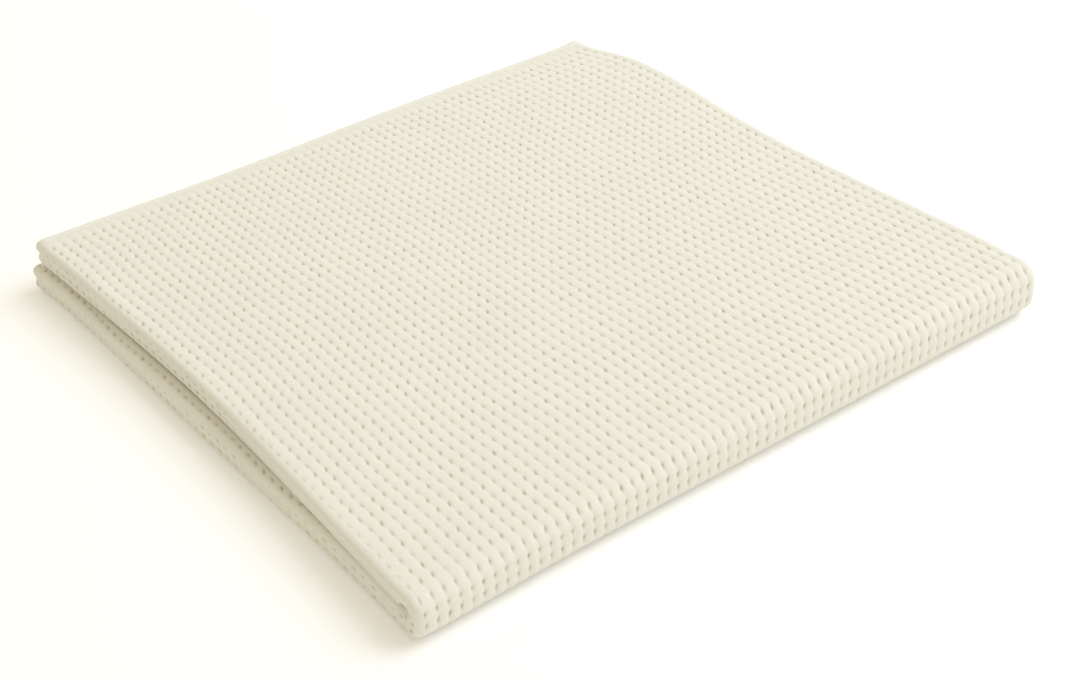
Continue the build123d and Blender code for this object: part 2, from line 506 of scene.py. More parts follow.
@dataclass
class Mesh:
    """A mesh being put together: its points, faces and what its material reads."""

    points: list[Array] = field(default_factory=list)
    faces: list[Array] = field(default_factory=list)
    cells: list[Array] = field(default_factory=list)
    woven: list[Array] = field(default_factory=list)
    rims: list[Array] = field(default_factory=list)
    count: int = 0

    def add(self, points: Array, cells: Array | None = None, woven: Array | None = None) -> Array:
        """Add points, and return their numbers in the shape they were given."""
        shape = points.shape[:-1]
        total = int(np.prod(shape))
        self.points.append(points.reshape(-1, 3))
        self.cells.append(np.zeros((total, 2)) if cells is None else cells.reshape(-1, 2))
        self.woven.append(np.zeros(total) if woven is None else woven.reshape(-1))
        numbers = np.arange(self.count, self.count + total).reshape(shape)
        self.count += total
        return numbers

    def quads(self, numbers: Array, flipped: bool = False) -> None:
        """Join a grid of points with four-sided faces."""
        a, b, c, d = numbers[:-1, :-1], numbers[1:, :-1], numbers[1:, 1:], numbers[:-1, 1:]
        corners = (d, c, b, a) if flipped else (a, b, c, d)
        self.faces.append(np.stack([corner.ravel() for corner in corners], axis=1))

    def strip(self, fine: Array, fine_at: Array, coarse: Array, coarse_at: Array) -> None:
        """Join a finely cut edge to a coarsely cut one with triangles.

        Each fine edge is joined to the nearest coarse point, and each coarse edge to the fine
        point where the nearest coarse point changes.

        Args:
            fine: numbers of the fine edge's points, in order.
            fine_at: their lengths along the edge.
            coarse: numbers of the coarse edge's points, in the same order.
            coarse_at: their lengths.
        """
        if fine_at[0] > fine_at[-1]:
            fine_at, coarse_at = -fine_at, -coarse_at
        middles = 0.5 * (fine_at[1:] + fine_at[:-1])
        nearest = np.searchsorted(0.5 * (coarse_at[1:] + coarse_at[:-1]), middles)
        self.faces.append(np.stack([fine[1:], fine[:-1], coarse[nearest]], axis=1))
        change = np.searchsorted(nearest, np.arange(len(coarse) - 1), side="right")
        self.faces.append(np.stack([coarse[:-1], coarse[1:], fine[change]], axis=1))

    def tube(self, points: Array, cells: Array) -> None:
        """Add a closed tube: rings of points side by side, with a fan of triangles over each end.

        Args:
            points: an array of ring places, rings and 3.
            cells: the weave's cells at the same places.
        """
        numbers = self.add(points, cells)
        self.rims += [numbers[:, 0], numbers[:, -1]]
        self.quads(np.concatenate([numbers, numbers[:1]], axis=0))
        middles = self.add(points[:, [0, -1]].mean(axis=0), cells[:, [0, -1]].mean(axis=0))
        ahead = np.roll(numbers, -1, axis=0)
        count = len(numbers)
        self.faces.append(np.stack([ahead[:, 0], numbers[:, 0], np.full(count, middles[0])], axis=1))
        self.faces.append(np.stack([numbers[:, -1], ahead[:, -1], np.full(count, middles[1])], axis=1))

    def beads(self, points: Array) -> None:
        """Add many small closed beads, each a stack of rings between two poles.

        Args:
            points: an array of beads, rings, ring places and 3; the first and last rings are poles.
        """
        rings = self.add(points[:, 1:-1])
        poles = self.add(points[:, [0, -1], 0])
        ahead = np.roll(rings, -1, axis=2)
        sides = (rings[:, :-1], rings[:, 1:], ahead[:, 1:], ahead[:, :-1])
        self.faces.append(np.stack([corner.ravel() for corner in sides], axis=1))
        places = rings.shape[2]
        foot, tip = (np.repeat(poles[:, k], places) for k in (0, 1))
        self.faces.append(np.stack([ahead[:, 0].ravel(), foot, rings[:, 0].ravel()], axis=1))
        self.faces.append(np.stack([rings[:, -1].ravel(), tip, ahead[:, -1].ravel()], axis=1))

    def build(self, name: str) -> bpy.types.Object:
        """Make the Blender object, with its faces turned outwards.

        The volume is the sum over triangles of a . (b x c) / 6, and a negative one turns every face.
        """
        points = np.concatenate(self.points).astype(np.float64)
        corners = np.concatenate([face.ravel() for face in self.faces])
        sizes = np.concatenate([np.full(len(face), face.shape[1]) for face in self.faces])
        starts = np.concatenate([[0], np.cumsum(sizes)[:-1]])
        volume = 0.0
        for face in self.faces:
            for k in range(1, face.shape[1] - 1):
                a, b, c = points[face[:, 0]], points[face[:, k]], points[face[:, k + 1]]
                volume += float(np.einsum("ij,ij->", a, np.cross(b, c)))
        if volume < 0:
            corners = np.concatenate([face[:, ::-1].ravel() for face in self.faces])
        mesh = bpy.data.meshes.new(name)
        mesh.vertices.add(len(points))
        mesh.vertices.foreach_set("co", points.astype(np.float32).ravel())
        mesh.loops.add(len(corners))
        mesh.loops.foreach_set("vertex_index", corners.astype(np.int32))
        mesh.polygons.add(len(sizes))
        mesh.polygons.foreach_set("loop_start", starts.astype(np.int32))
        mesh.polygons.foreach_set("loop_total", sizes.astype(np.int32))
        mesh.polygons.foreach_set("use_smooth", np.ones(len(sizes), dtype=bool))
        cells = np.concatenate(self.cells)
        uv_layer = mesh.uv_layers.new(name="cells")
        uv_layer.data.foreach_set("uv", cells[corners].astype(np.float32).ravel())
        attribute = mesh.attributes.new("woven", "FLOAT", "POINT")
        attribute.data.foreach_set("value", np.concatenate(self.woven).astype(np.float32))
        mesh.update(calc_edges=True)
        if self.rims:
            rim = np.zeros(len(points), dtype=bool)
            rim[np.concatenate([numbers.ravel() for numbers in self.rims])] = True
            ends = np.zeros(2 * len(mesh.edges), dtype=np.int32)
            mesh.edges.foreach_get("vertices", ends)
            sharp = mesh.attributes.new("sharp_edge", "BOOLEAN", "EDGE")
            sharp.data.foreach_set("value", rim[ends].reshape(-1, 2).all(axis=1))
        obj = bpy.data.objects.new(name, mesh)
        bpy.context.scene.collection.objects.link(obj)
        return obj


class Value:
    """A shader socket that takes part in Python expressions on numbers."""

    def __init__(self, tree: "Shader", socket: bpy.types.NodeSocket) -> None:
        """Wrap a socket of a shader."""
        self.tree = tree
        self.socket = socket

    def _with(self, operation: str, *others: Any) -> "Value":
        """Add one Math node on this value and others."""
        return self.tree.node("ShaderNodeMath", {"operation": operation}, dict(enumerate(others)))

    def __add__(self, other: Any) -> "Value":
        """This plus other."""
        return self._with("ADD", self, other)

    def __radd__(self, other: Any) -> "Value":
        """Other plus this."""
        return self._with("ADD", other, self)

    def __sub__(self, other: Any) -> "Value":
        """This minus other."""
        return self._with("SUBTRACT", self, other)

    def __rsub__(self, other: Any) -> "Value":
        """Other minus this."""
        return self._with("SUBTRACT", other, self)

    def __mul__(self, other: Any) -> "Value":
        """This times other."""
        return self._with("MULTIPLY", self, other)

    def __rmul__(self, other: Any) -> "Value":
        """Other times this."""
        return self._with("MULTIPLY", other, self)

    def sine(self) -> "Value":
        """The sine of this."""
        return self._with("SINE", self)

    def floor(self) -> "Value":
        """The whole number below this."""
        return self._with("FLOOR", self)

    def bell(self, width: float) -> "Value":
        """One where this is zero, and exp(-1) where it is the width."""
        scaled = self * (1.0 / width)
        return self._with("EXPONENT", scaled * scaled * -1.0)


class Shader:
    """A material's node tree and the one way to add a node to it."""

    def __init__(self, name: str) -> None:
        """Start a material with an empty tree."""
        self.material = bpy.data.materials.new(name)
        self.material.use_nodes = True
        self.tree = self.material.node_tree
        self.tree.nodes.clear()

    def node(
        self, kind: str, settings: dict[str, Any], inputs: dict[Any, Any], output: int | str = 0
    ) -> Value:
        """Add a node.

        Args:
            kind: the node's type.
            settings: its properties, set first.
            inputs: values or links of its sockets, by name or number.
            output: the socket to give back.

        Returns:
            The chosen output.
        """
        node = self.tree.nodes.new(kind)
        for key, value in settings.items():
            setattr(node, key, value)
        for key, value in inputs.items():
            if isinstance(value, Value):
                self.tree.links.new(value.socket, node.inputs[key])
            else:
                node.inputs[key].default_value = value
        return Value(self, node.outputs[output])

    def close(self, surface: Value) -> None:
        """Link the finished surface to the material's output."""
        output = self.tree.nodes.new("ShaderNodeOutputMaterial")
        self.tree.links.new(surface.socket, output.inputs["Surface"])

    def mix(self, factor: Any, first: Any, second: Any) -> Value:
        """Mix two colours."""
        settings = {"data_type": "RGBA", "clamp_factor": True}
        return self.node("ShaderNodeMix", settings, {0: factor, 6: first, 7: second}, 2)


@dataclass(frozen=True)
class Finish:
    """A cotton finish: its colours, and the yarn and fibre that its face shows."""

    name: str
    slot: str
    face: tuple[float, float, float, float]
    # hollow: the colour of the painted shade in each dimple and along each groove
    hollow: tuple[float, float, float, float]
    yarns_u: float
    yarns_v: float
    yarn_depth: float
    fibre_depth: float
    sheen: float = 0.12

    def make(self) -> bpy.types.Material:
        """Build the material.

        The colour goes from the face to the hollow colour in each dimple, a ragged dash one to a cell,
        which is painted shade, with a faint painted shade line along each groove, slow mottling and
        finer fibre flecks. Yarns are sine ridges along both ways of the weave, broken up by noise.
        """
        shader = Shader(self.name)
        cells = shader.node("ShaderNodeUVMap", {"uv_map": "cells"}, {})
        place = shader.node("ShaderNodeTexCoord", {}, {}, "Object")
        woven = shader.node("ShaderNodeAttribute", {"attribute_name": "woven"}, {}, "Fac")
        mottle = shader.node("ShaderNodeTexNoise", {}, {"Vector": place, "Scale": 22.0, "Detail": 3.0})
        fleck = shader.node(
            "ShaderNodeTexNoise", {}, {"Vector": place, "Scale": 900.0, "Detail": 4.0, "Roughness": 0.65}
        )
        split = shader.node("ShaderNodeSeparateXYZ", {}, {0: cells}, 0)
        along = Value(shader, split.socket.node.outputs[1])
        near_u, near_v = (split + 0.5).floor(), (along + 0.5).floor()
        cell = shader.node("ShaderNodeCombineXYZ", {}, {0: near_u, 1: near_v})
        chance = shader.node("ShaderNodeTexWhiteNoise", {"noise_dimensions": "3D"}, {"Vector": cell})
        # Painted shade: a ragged dash in each dimple and a faint line along each groove darken the face
        # towards the hollow colour.
        ragged = 0.22 * fleck - 0.11
        across_dash = (split - near_u) + (along - near_v) * (0.5 * chance - 0.03) + ragged
        painted_shade_dash = across_dash.bell(0.105) * (along - near_v + ragged).bell(0.20)
        groove = (split - near_u).bell(0.10)
        hollow = (painted_shade_dash * (0.35 + 0.5 * chance) + 0.07 * groove) * woven
        tone = shader.mix(hollow, self.face, self.hollow)
        shade = 0.34 * mottle + 0.9 * fleck
        dull = tuple(0.84 * part for part in self.face[:3]) + (1.0,)
        tone = shader.mix(shade - 0.48, tone, dull)
        waver = 2.2 * fleck
        yarn = (split * (2.0 * HALF_TURN * self.yarns_u) + waver).sine()
        cross = (along * (2.0 * HALF_TURN * self.yarns_v) + waver).sine()
        height = self.yarn_depth * yarn + 0.8 * self.yarn_depth * cross + self.fibre_depth * fleck
        bump = shader.node("ShaderNodeBump", {}, {"Strength": 0.8, "Distance": 1.0, "Height": height})
        surface = shader.node(
            "ShaderNodeBsdfPrincipled",
            {},
            {
                "Base Color": tone,
                "Roughness": 0.84 + 0.1 * fleck,
                "Normal": bump,
                "Sheen Weight": self.sheen,
                "Sheen Roughness": 0.6,
                "Specular IOR Level": 0.25,
            },
        )
        shader.close(surface)
        return shader.material


FINISHES = (
    Finish(
        name="nubby_cloth",
        slot="cloth",
        face=(0.83, 0.815, 0.74, 1.0),
        # hollow: the painted shade colour in the dimples and grooves
        hollow=(0.42, 0.36, 0.20, 1.0),
        yarns_u=6.0,
        yarns_v=5.0,
        yarn_depth=0.04 * MM,
        fibre_depth=0.18 * MM,
    ),
    Finish(
        name="hem_cloth",
        slot="hem",
        face=(0.84, 0.825, 0.75, 1.0),
        hollow=(0.6, 0.55, 0.4, 1.0),
        yarns_u=8.0,
        yarns_v=8.0,
        yarn_depth=0.03 * MM,
        fibre_depth=0.14 * MM,
    ),
    Finish(
        name="sewing_thread",
        slot="thread",
        face=(0.82, 0.80, 0.70, 1.0),
        hollow=(0.6, 0.55, 0.4, 1.0),
        yarns_u=3.0,
        yarns_v=3.0,
        yarn_depth=0.01 * MM,
        fibre_depth=0.05 * MM,
    ),
)


@dataclass
class Pieces:
    """Hands a finished mesh its material, its CAD nodes and the body it moves with."""

    cloth: Cloth
    materials: dict[str, bpy.types.Material]
    bend_reach: float = 0.0015 * MM

    def finish(
        self, obj: bpy.types.Object, slot: str, nodes: list[str], stretch: Stretch
    ) -> bpy.types.Object:
        """Dress a piece, hide the CAD nodes that it stands for and join it to its half's body.

        A piece of the front fold joins no body: its transform is only baked.

        Args:
            obj: the piece.
            slot: the record's material slot.
            nodes: the CAD nodes that the piece stands for.
            stretch: where the piece lies along the route.

        Returns:
            The same piece.
        """
        obj.data.materials.append(self.materials[slot])
        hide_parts(*nodes)
        if stretch is Stretch.TOP:
            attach(obj, "top_half")
        elif stretch is Stretch.BOTTOM:
            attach(obj, "folded_base")
        else:
            drape = self.cloth.drape
            slope = drape.middle_height(1.0) - drape.middle_height(0.0)
            across = np.array([-slope, 0.0, 1.0])
            middle = np.array([0.0, self.cloth.route.front_y, drape.middle_height(0.0)])
            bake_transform(obj)
        log.info("%s: %d faces", obj.name, len(obj.data.polygons))
        return obj


@dataclass(frozen=True)
class Stitching:
    """The sewing of a hem: its stitches, their line and the dent that they pull in."""

    length: float = 2.7 * MM
    width: float = 0.62 * MM
    height: float = 0.42 * MM
    sink: float = 0.28 * MM
    slant: float = 0.10
    pitch: float = 4.0 * MM
    line: float = 6.0 * MM
    margin: float = 6.0 * MM
    dent_depth: float = 0.30 * MM
    dent_reach: float = 0.7 * MM

    def places(self, start: float, end: float) -> Array:
        """The middles of a row of stitches, with clear cloth at both ends."""
        return np.arange(start + self.margin, end - self.margin, self.pitch)


@dataclass
class ClothPieces(Pieces):
    """The sheets, hems, stitches and back fold of the throw."""

    sewing: Stitching = Stitching()
    fold_flat: float = math.radians(4.0)
    fold_steps: int = 8
    straight_steps: int = 30
    turn_steps: int = 13
    hem_steps: int = 90
    plain_step: float = 25.0 * MM
    hem_sink: float = 0.12 * MM
    hem_waver: float = 0.14 * MM

    def route_ends(self, stretch: Stretch) -> tuple[float, float]:
        """The route's run at the start and end of a stretch, without its hem."""
        route, hem = self.cloth.route, self.cloth.section.hem_width
        ends = {
            Stretch.TOP: (route.top_end + hem, -self.cloth.seam),
            Stretch.FOLD: (-self.cloth.seam, self.cloth.seam),
            Stretch.BOTTOM: (self.cloth.seam, route.bottom_end),
        }
        return ends[stretch]

    def route_samples(self, stretch: Stretch, steps: tuple[float, ...] | None) -> Array:
        """Places along the route: by the weave's steps, or far apart where steps is None."""
        start, end = self.route_ends(stretch)
        route = self.cloth.route
        gap = self.fold_flat * route.middle_z
        if stretch is Stretch.FOLD:
            if steps is None:
                half = np.concatenate([np.linspace(gap, route.quarter, self.fold_steps), [end]])
                return np.concatenate([-half[::-1], half])
            half = self.cloth.weave.samples(gap, end, self.cloth.weave.cell_y, 0.5, steps)
            return np.concatenate([-half[::-1], half])
        if steps is None:
            return np.linspace(start, end, self.straight_steps)
        return self.cloth.weave.samples(start, end, self.cloth.weave.cell_y, 0.5, steps)

    def section_samples(self, start: float, end: float, steps: tuple[float, ...] | None) -> Array:
        """Places along the section: by the weave's steps, or far apart with closer ones on the turns."""
        if steps is not None:
            shift = 0.5 - self.cloth.section.knots[1] / self.cloth.weave.cell_x
            return self.cloth.weave.samples(start, end, self.cloth.weave.cell_x, shift, steps)
        flap, nose, base, side, _ = self.cloth.section.knots
        turns = [np.linspace(*ends, self.turn_steps) for ends in ((flap, nose), (base, side))]
        plain = np.arange(0.0, side + 0.5, self.plain_step)
        places = np.unique(np.round(np.concatenate([*turns, plain]), 6))
        inside = places[(places > start + MM) & (places < end - MM)]
        return np.concatenate([[start], inside, [end]])

    def sheet(
        self,
        name: str,
        layer: Layer,
        span: tuple[float, float],
        stretch: Stretch,
        steps: tuple[float, ...] | None,
        nodes: list[str],
        trims: list[bpy.types.Object] | None = None,
    ) -> bpy.types.Object:
        """Make one sheet of cloth: an outer and an inner face, closed along its four edges.

        Args:
            name: the piece's name.
            layer: which layer of the double cloth it is.
            span: its start and end along the section.
            stretch: its stretch of the route.
            steps: the weave's sample steps, or None for a plain hidden sheet.
            nodes: the CAD nodes it stands for.
            trims: its hems and what else is sewn to it.

        Returns:
            The finished piece.
        """
        cloth = self.cloth
        depth = cloth.section.pitch if layer is Layer.INNER else 0.0
        s, q = self.section_samples(*span, steps), self.route_samples(stretch, steps)
        s_back, q_back = self.section_samples(*span, None), self.route_samples(stretch, None)
        mesh = Mesh()
        s_grid, q_grid = np.meshgrid(s, q, indexing="ij")
        u, v = cloth.cells(s_grid, q_grid)
        relief = cloth.relief(s_grid, q_grid) if steps is not None else 0.0
        woven = cloth.woven(s_grid, q_grid) if steps is not None else None
        face = mesh.add(cloth.place(s_grid, q_grid, depth - relief), np.stack([u, v], -1), woven)
        s_grid, q_grid = np.meshgrid(s_back, q_back, indexing="ij")
        cells = np.stack(cloth.cells(s_grid, q_grid), -1)
        back = mesh.add(cloth.place(s_grid, q_grid, depth + cloth.section.thickness), cells)
        mesh.quads(face)
        mesh.quads(back, flipped=True)
        mesh.rims += [face[0], face[-1], face[:, 0], face[:, -1]]
        mesh.strip(face[:, 0], s, back[:, 0], s_back)
        mesh.strip(face[-1, :], q, back[-1, :], q_back)
        mesh.strip(face[::-1, -1], s[::-1], back[::-1, -1], s_back[::-1])
        mesh.strip(face[0, ::-1], q[::-1], back[0, ::-1], q_back[::-1])
        obj = self.finish(mesh.build(name), "cloth", nodes, stretch)
        self.declare(obj, span, (q[0], q[-1]), depth + cloth.section.thickness / 2, stretch, trims or [])
        return obj

    def declare(
        self,
        obj: bpy.types.Object,
        span: tuple[float, float],
        run: tuple[float, float],
        depth: float,
        stretch: Stretch,
        trims: list[bpy.types.Object],
    ) -> None:
        """Work out the flat length and area of a piece in the front fold; the result is not kept.

        In the front fold the inner layers take a shorter way round than the outer one: their area is
        the sum along the section of the half turn at each place's own radius.
        """
        width, length = span[1] - span[0], run[1] - run[0]
        if stretch is not Stretch.FOLD:
            return
        places = np.linspace(*span, 200)
        _, height, _, normal_z = self.cloth.section.at(places)
        radii = np.abs(height - normal_z * depth + self.cloth.route.pack_gap / 2)
        straight = 2.0 * (self.cloth.seam - self.cloth.route.quarter)
        length = HALF_TURN * float(radii.max()) + straight
        area = (float(radii.mean()) * HALF_TURN + straight) * width
        area = max(area, LEAST_AREA_SHARE * width * length)

    def hem_profile(self, depth: float) -> tuple[Array, Array]:
        """The outline of a hem: flat faces, a rounded edge, and a dent along its line of stitches.

        Args:
            depth: the layer's distance inwards from the section line.

        Returns:
            Distances from the hem's edge, and distances inwards, round the outline.
        """
        section = self.cloth.section
        radius = section.thickness / 2
        turn = np.linspace(0.0, HALF_TURN, 9)
        flat = np.linspace(section.hem_width, radius, 9)[:-1]
        sewing = self.sewing
        dent = sewing.dent_depth * np.exp(-(((flat - sewing.line) / sewing.dent_reach) ** 2)) + self.hem_sink
        edge = np.concatenate([flat, radius * (1.0 - np.sin(turn)), flat[::-1]])
        inwards = np.concatenate(
            [depth + dent, depth + radius * (1.0 - np.cos(turn)), np.full(len(flat), depth + 2.0 * radius)]
        )
        return edge, inwards

    def end_hem(
        self, name: str, layer: Layer, edge_s: float, side: int, stretch: Stretch, nodes: list[str]
    ) -> bpy.types.Object:
        """Make a hem across a flap's end: the hem's outline carried along the route.

        Args:
            name: the piece's name.
            layer: which layer of the double cloth it closes.
            edge_s: the length along the section of its edge.
            side: 1 where the cloth lies at greater lengths, -1 where it lies at smaller ones.
            stretch: its stretch of the route.
            nodes: the CAD nodes it stands for.

        Returns:
            The finished piece.
        """
        cloth = self.cloth
        depth = cloth.section.pitch if layer is Layer.INNER else 0.0
        edge, inwards = self.hem_profile(depth)
        start, end = self.route_ends(stretch)
        if stretch is Stretch.FOLD:
            q = self.route_samples(stretch, None)
        else:
            q = np.linspace(start, end, self.hem_steps)
        s = edge_s + side * edge[:, None] + 0.0 * q[None, :]
        q_grid = q[None, :] + 0.0 * s
        waver = self.hem_waver * np.sin(q_grid * 900.0 + 2.0 * np.sin(q_grid * 210.0))
        points = cloth.place(s, q_grid, inwards[:, None] + waver)
        mesh = Mesh()
        mesh.tube(points, np.stack(cloth.cells(s, q_grid), -1))
        return self.finish(mesh.build(name), "hem", nodes, stretch)

    def side_hem(self, name: str, layer: Layer, start_s: float, node: str) -> bpy.types.Object:
        """Make the hem along the top half's edge: the hem's outline carried along the section."""
        cloth = self.cloth
        end_s = cloth.section.knots[-1]
        depth = cloth.section.pitch if layer is Layer.INNER else 0.0
        edge, inwards = self.hem_profile(depth)
        s = self.section_samples(start_s, end_s, (-0.5, 0.0))
        q_grid = cloth.route.top_end + edge[:, None] + 0.0 * s[None, :]
        s_grid = s[None, :] + 0.0 * q_grid
        waver = self.hem_waver * np.sin(s_grid * 900.0 + 2.0 * np.sin(s_grid * 210.0))
        points = cloth.place(s_grid, q_grid, inwards[:, None] + waver)
        mesh = Mesh()
        mesh.tube(points, np.stack(cloth.cells(s_grid, q_grid), -1))
        return self.finish(mesh.build(name), "hem", [node], Stretch.TOP)

    def back_fold(self) -> bpy.types.Object:
        """Make the turn that joins the two layers along the bottom half's back.

        Its outline is two half circles about one point between the layers, the outer one woven, and
        it is carried along the whole section.
        """
        cloth = self.cloth
        section = cloth.section
        radius = (section.pitch + section.thickness) / 2
        slack = radius - section.thickness
        s = self.section_samples(0.0, section.knots[-1], cloth.weave.coarse_steps)
        turn = np.linspace(0.0, HALF_TURN, 11)
        turns = np.concatenate([turn, turn[::-1]])[:, None] + 0.0 * s[None, :]
        s_grid = s[None, :] + 0.0 * turns
        run = cloth.route.bottom_end + radius * turns
        outer = (np.arange(len(turns)) < len(turn))[:, None] + 0.0 * turns
        relief = cloth.relief(s_grid, run)
        radii = np.where(outer > 0.5, radius + relief, slack)
        q_grid = cloth.route.bottom_end + radii * np.sin(turns)
        points = cloth.place(s_grid, q_grid, radius - radii * np.cos(turns))
        mesh = Mesh()
        cells = np.stack(cloth.cells(s_grid, run), -1)
        mesh.tube(points, cells)
        mesh.woven[0] = (cloth.woven(s_grid, run) * outer).ravel()
        return self.finish(mesh.build("back_fold_cloth"), "cloth", ["back_fold"], Stretch.BOTTOM)

    def stitches(self, name: str, s: Array, q: Array, along_s: bool) -> bpy.types.Object:
        """Make a row of stitches: flattened beads, half sunk in the hem.

        A bead's rings shrink towards its ends as the fourth root of one minus the fourth power.

        Args:
            name: the piece's name and, less its last word, the CAD node's.
            s: the stitches' lengths along the section.
            q: their lengths along the route.
            along_s: whether the row runs along the section.
        """
        sewing = self.sewing
        along = np.array([-1.0, -0.92, -0.5, 0.0, 0.5, 0.92, 1.0])
        girth = (1.0 - along**4) ** 0.25
        turn = np.linspace(0.0, 2.0 * HALF_TURN, 8, endpoint=False)
        run = 0.5 * sewing.length * along[None, :, None] + 0.0 * s[:, None, None] + 0.0 * turn
        cross = 0.5 * sewing.width * girth[:, None] * np.cos(turn) + 0.0 * run
        lift = 0.5 * sewing.height * girth[:, None] * np.sin(turn) + 0.0 * run
        slant = sewing.slant * run
        ahead, aside = (run, cross + slant) if along_s else (cross + slant, run)
        points = self.cloth.place(s[:, None, None] + ahead, q[:, None, None] + aside, sewing.sink - lift)
        mesh = Mesh()
        mesh.beads(points)
        return self.finish(mesh.build(name), "thread", [name.replace("_stitches", "_thread")], Stretch.TOP)


@dataclass(frozen=True)
class Lamp:
    """A square soft light that faces the throw."""

    name: str
    place: tuple[float, float, float]
    size: float
    power: float
    colour: tuple[float, float, float]


@dataclass(frozen=True)
class Studio:
    """The pale floor, the soft light and the camera."""

    floor_side: float = 6.0
    floor_z: float = -0.0004
    floor_colour: tuple[float, float, float, float] = (0.90, 0.90, 0.89, 1.0)
    floor_glow: float = 0.16
    sky_colour: tuple[float, float, float, float] = (1.0, 0.915, 0.715, 1.0)
    sky_strength: float = 0.66
    lamps: tuple[Lamp, ...] = (
        Lamp("key_light", (2.0, -1.05, 2.7), 3.0, 76.0, (0.97, 1.06, 1.22)),
        Lamp("back_light", (0.3, 1.9, 1.3), 1.6, 4.0, (1.0, 0.99, 0.97)),
    )
    lens: float = 58.27
    sensor: float = 36.0
    azimuth: float = math.radians(-33.39)
    elevation: float = math.radians(32.90)
    roll: float = math.radians(-5.13)
    eye: tuple[float, float, float] = (-0.5075, -0.7959, 0.5769)

    def add(self, name: str, data: Any, axes: tuple[Array, Array, Array], place: tuple) -> bpy.types.Object:
        """Add an object whose right, up and back point along the given axes."""
        obj = bpy.data.objects.new(name, data)
        matrix = Matrix.Identity(4)
        for column, axis in enumerate(axes):
            for row in range(3):
                matrix[row][column] = float(axis[row])
        matrix.translation = place
        obj.matrix_world = matrix
        bpy.context.scene.collection.objects.link(obj)
        return obj

    def floor(self) -> None:
        """Lay the floor just under the throw."""
        mesh = Mesh()
        run = np.linspace(-self.floor_side, self.floor_side, 9)
        x, y = np.meshgrid(run, run, indexing="ij")
        mesh.quads(mesh.add(np.stack([x, y, np.full_like(x, self.floor_z)], -1)))
        floor = mesh.build("floor")
        shader = Shader("floor_paper")
        inputs = {
            "Base Color": self.floor_colour,
            "Roughness": 0.9,
            "Emission Color": self.floor_colour,
            "Emission Strength": self.floor_glow,
        }
        shader.close(shader.node("ShaderNodeBsdfPrincipled", {}, inputs))
        floor.data.materials.append(shader.material)
        floor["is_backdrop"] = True

    def light(self) -> None:
        """Set the even light of the sky and hang the lamps."""
        world = bpy.data.worlds.new("studio")
        world.use_nodes = True
        background = world.node_tree.nodes["Background"]
        background.inputs["Color"].default_value = self.sky_colour
        background.inputs["Strength"].default_value = self.sky_strength
        bpy.context.scene.world = world
        bpy.context.scene.view_settings.view_transform = "Standard"
        for lamp in self.lamps:
            light = bpy.data.lights.new(lamp.name, "AREA")
            light.size = lamp.size
            light.energy = lamp.power
            light.color = lamp.colour
            back = np.array(lamp.place) / np.linalg.norm(lamp.place)
            right = np.cross([0.0, 0.0, 1.0], back)
            right /= np.linalg.norm(right)
            self.add(lamp.name, light, (right, np.cross(back, right), back), lamp.place)

    def camera(self) -> None:
        """Place the camera: its azimuth and elevation say where it stands, and its roll tilts it."""
        camera = bpy.data.cameras.new("camera")
        camera.sensor_width = self.sensor
        camera.lens = self.lens
        level = np.array([math.cos(self.azimuth), math.sin(self.azimuth), 0.0])
        flat = math.cos(self.elevation)
        back = np.array(
            [math.sin(self.azimuth) * flat, -math.cos(self.azimuth) * flat, math.sin(self.elevation)]
        )
        up = np.cross(back, level)
        right = level * math.cos(self.roll) + up * math.sin(self.roll)
        up = up * math.cos(self.roll) - level * math.sin(self.roll)
        bpy.context.scene.camera = self.add("camera", camera, (right, up, back), self.eye)


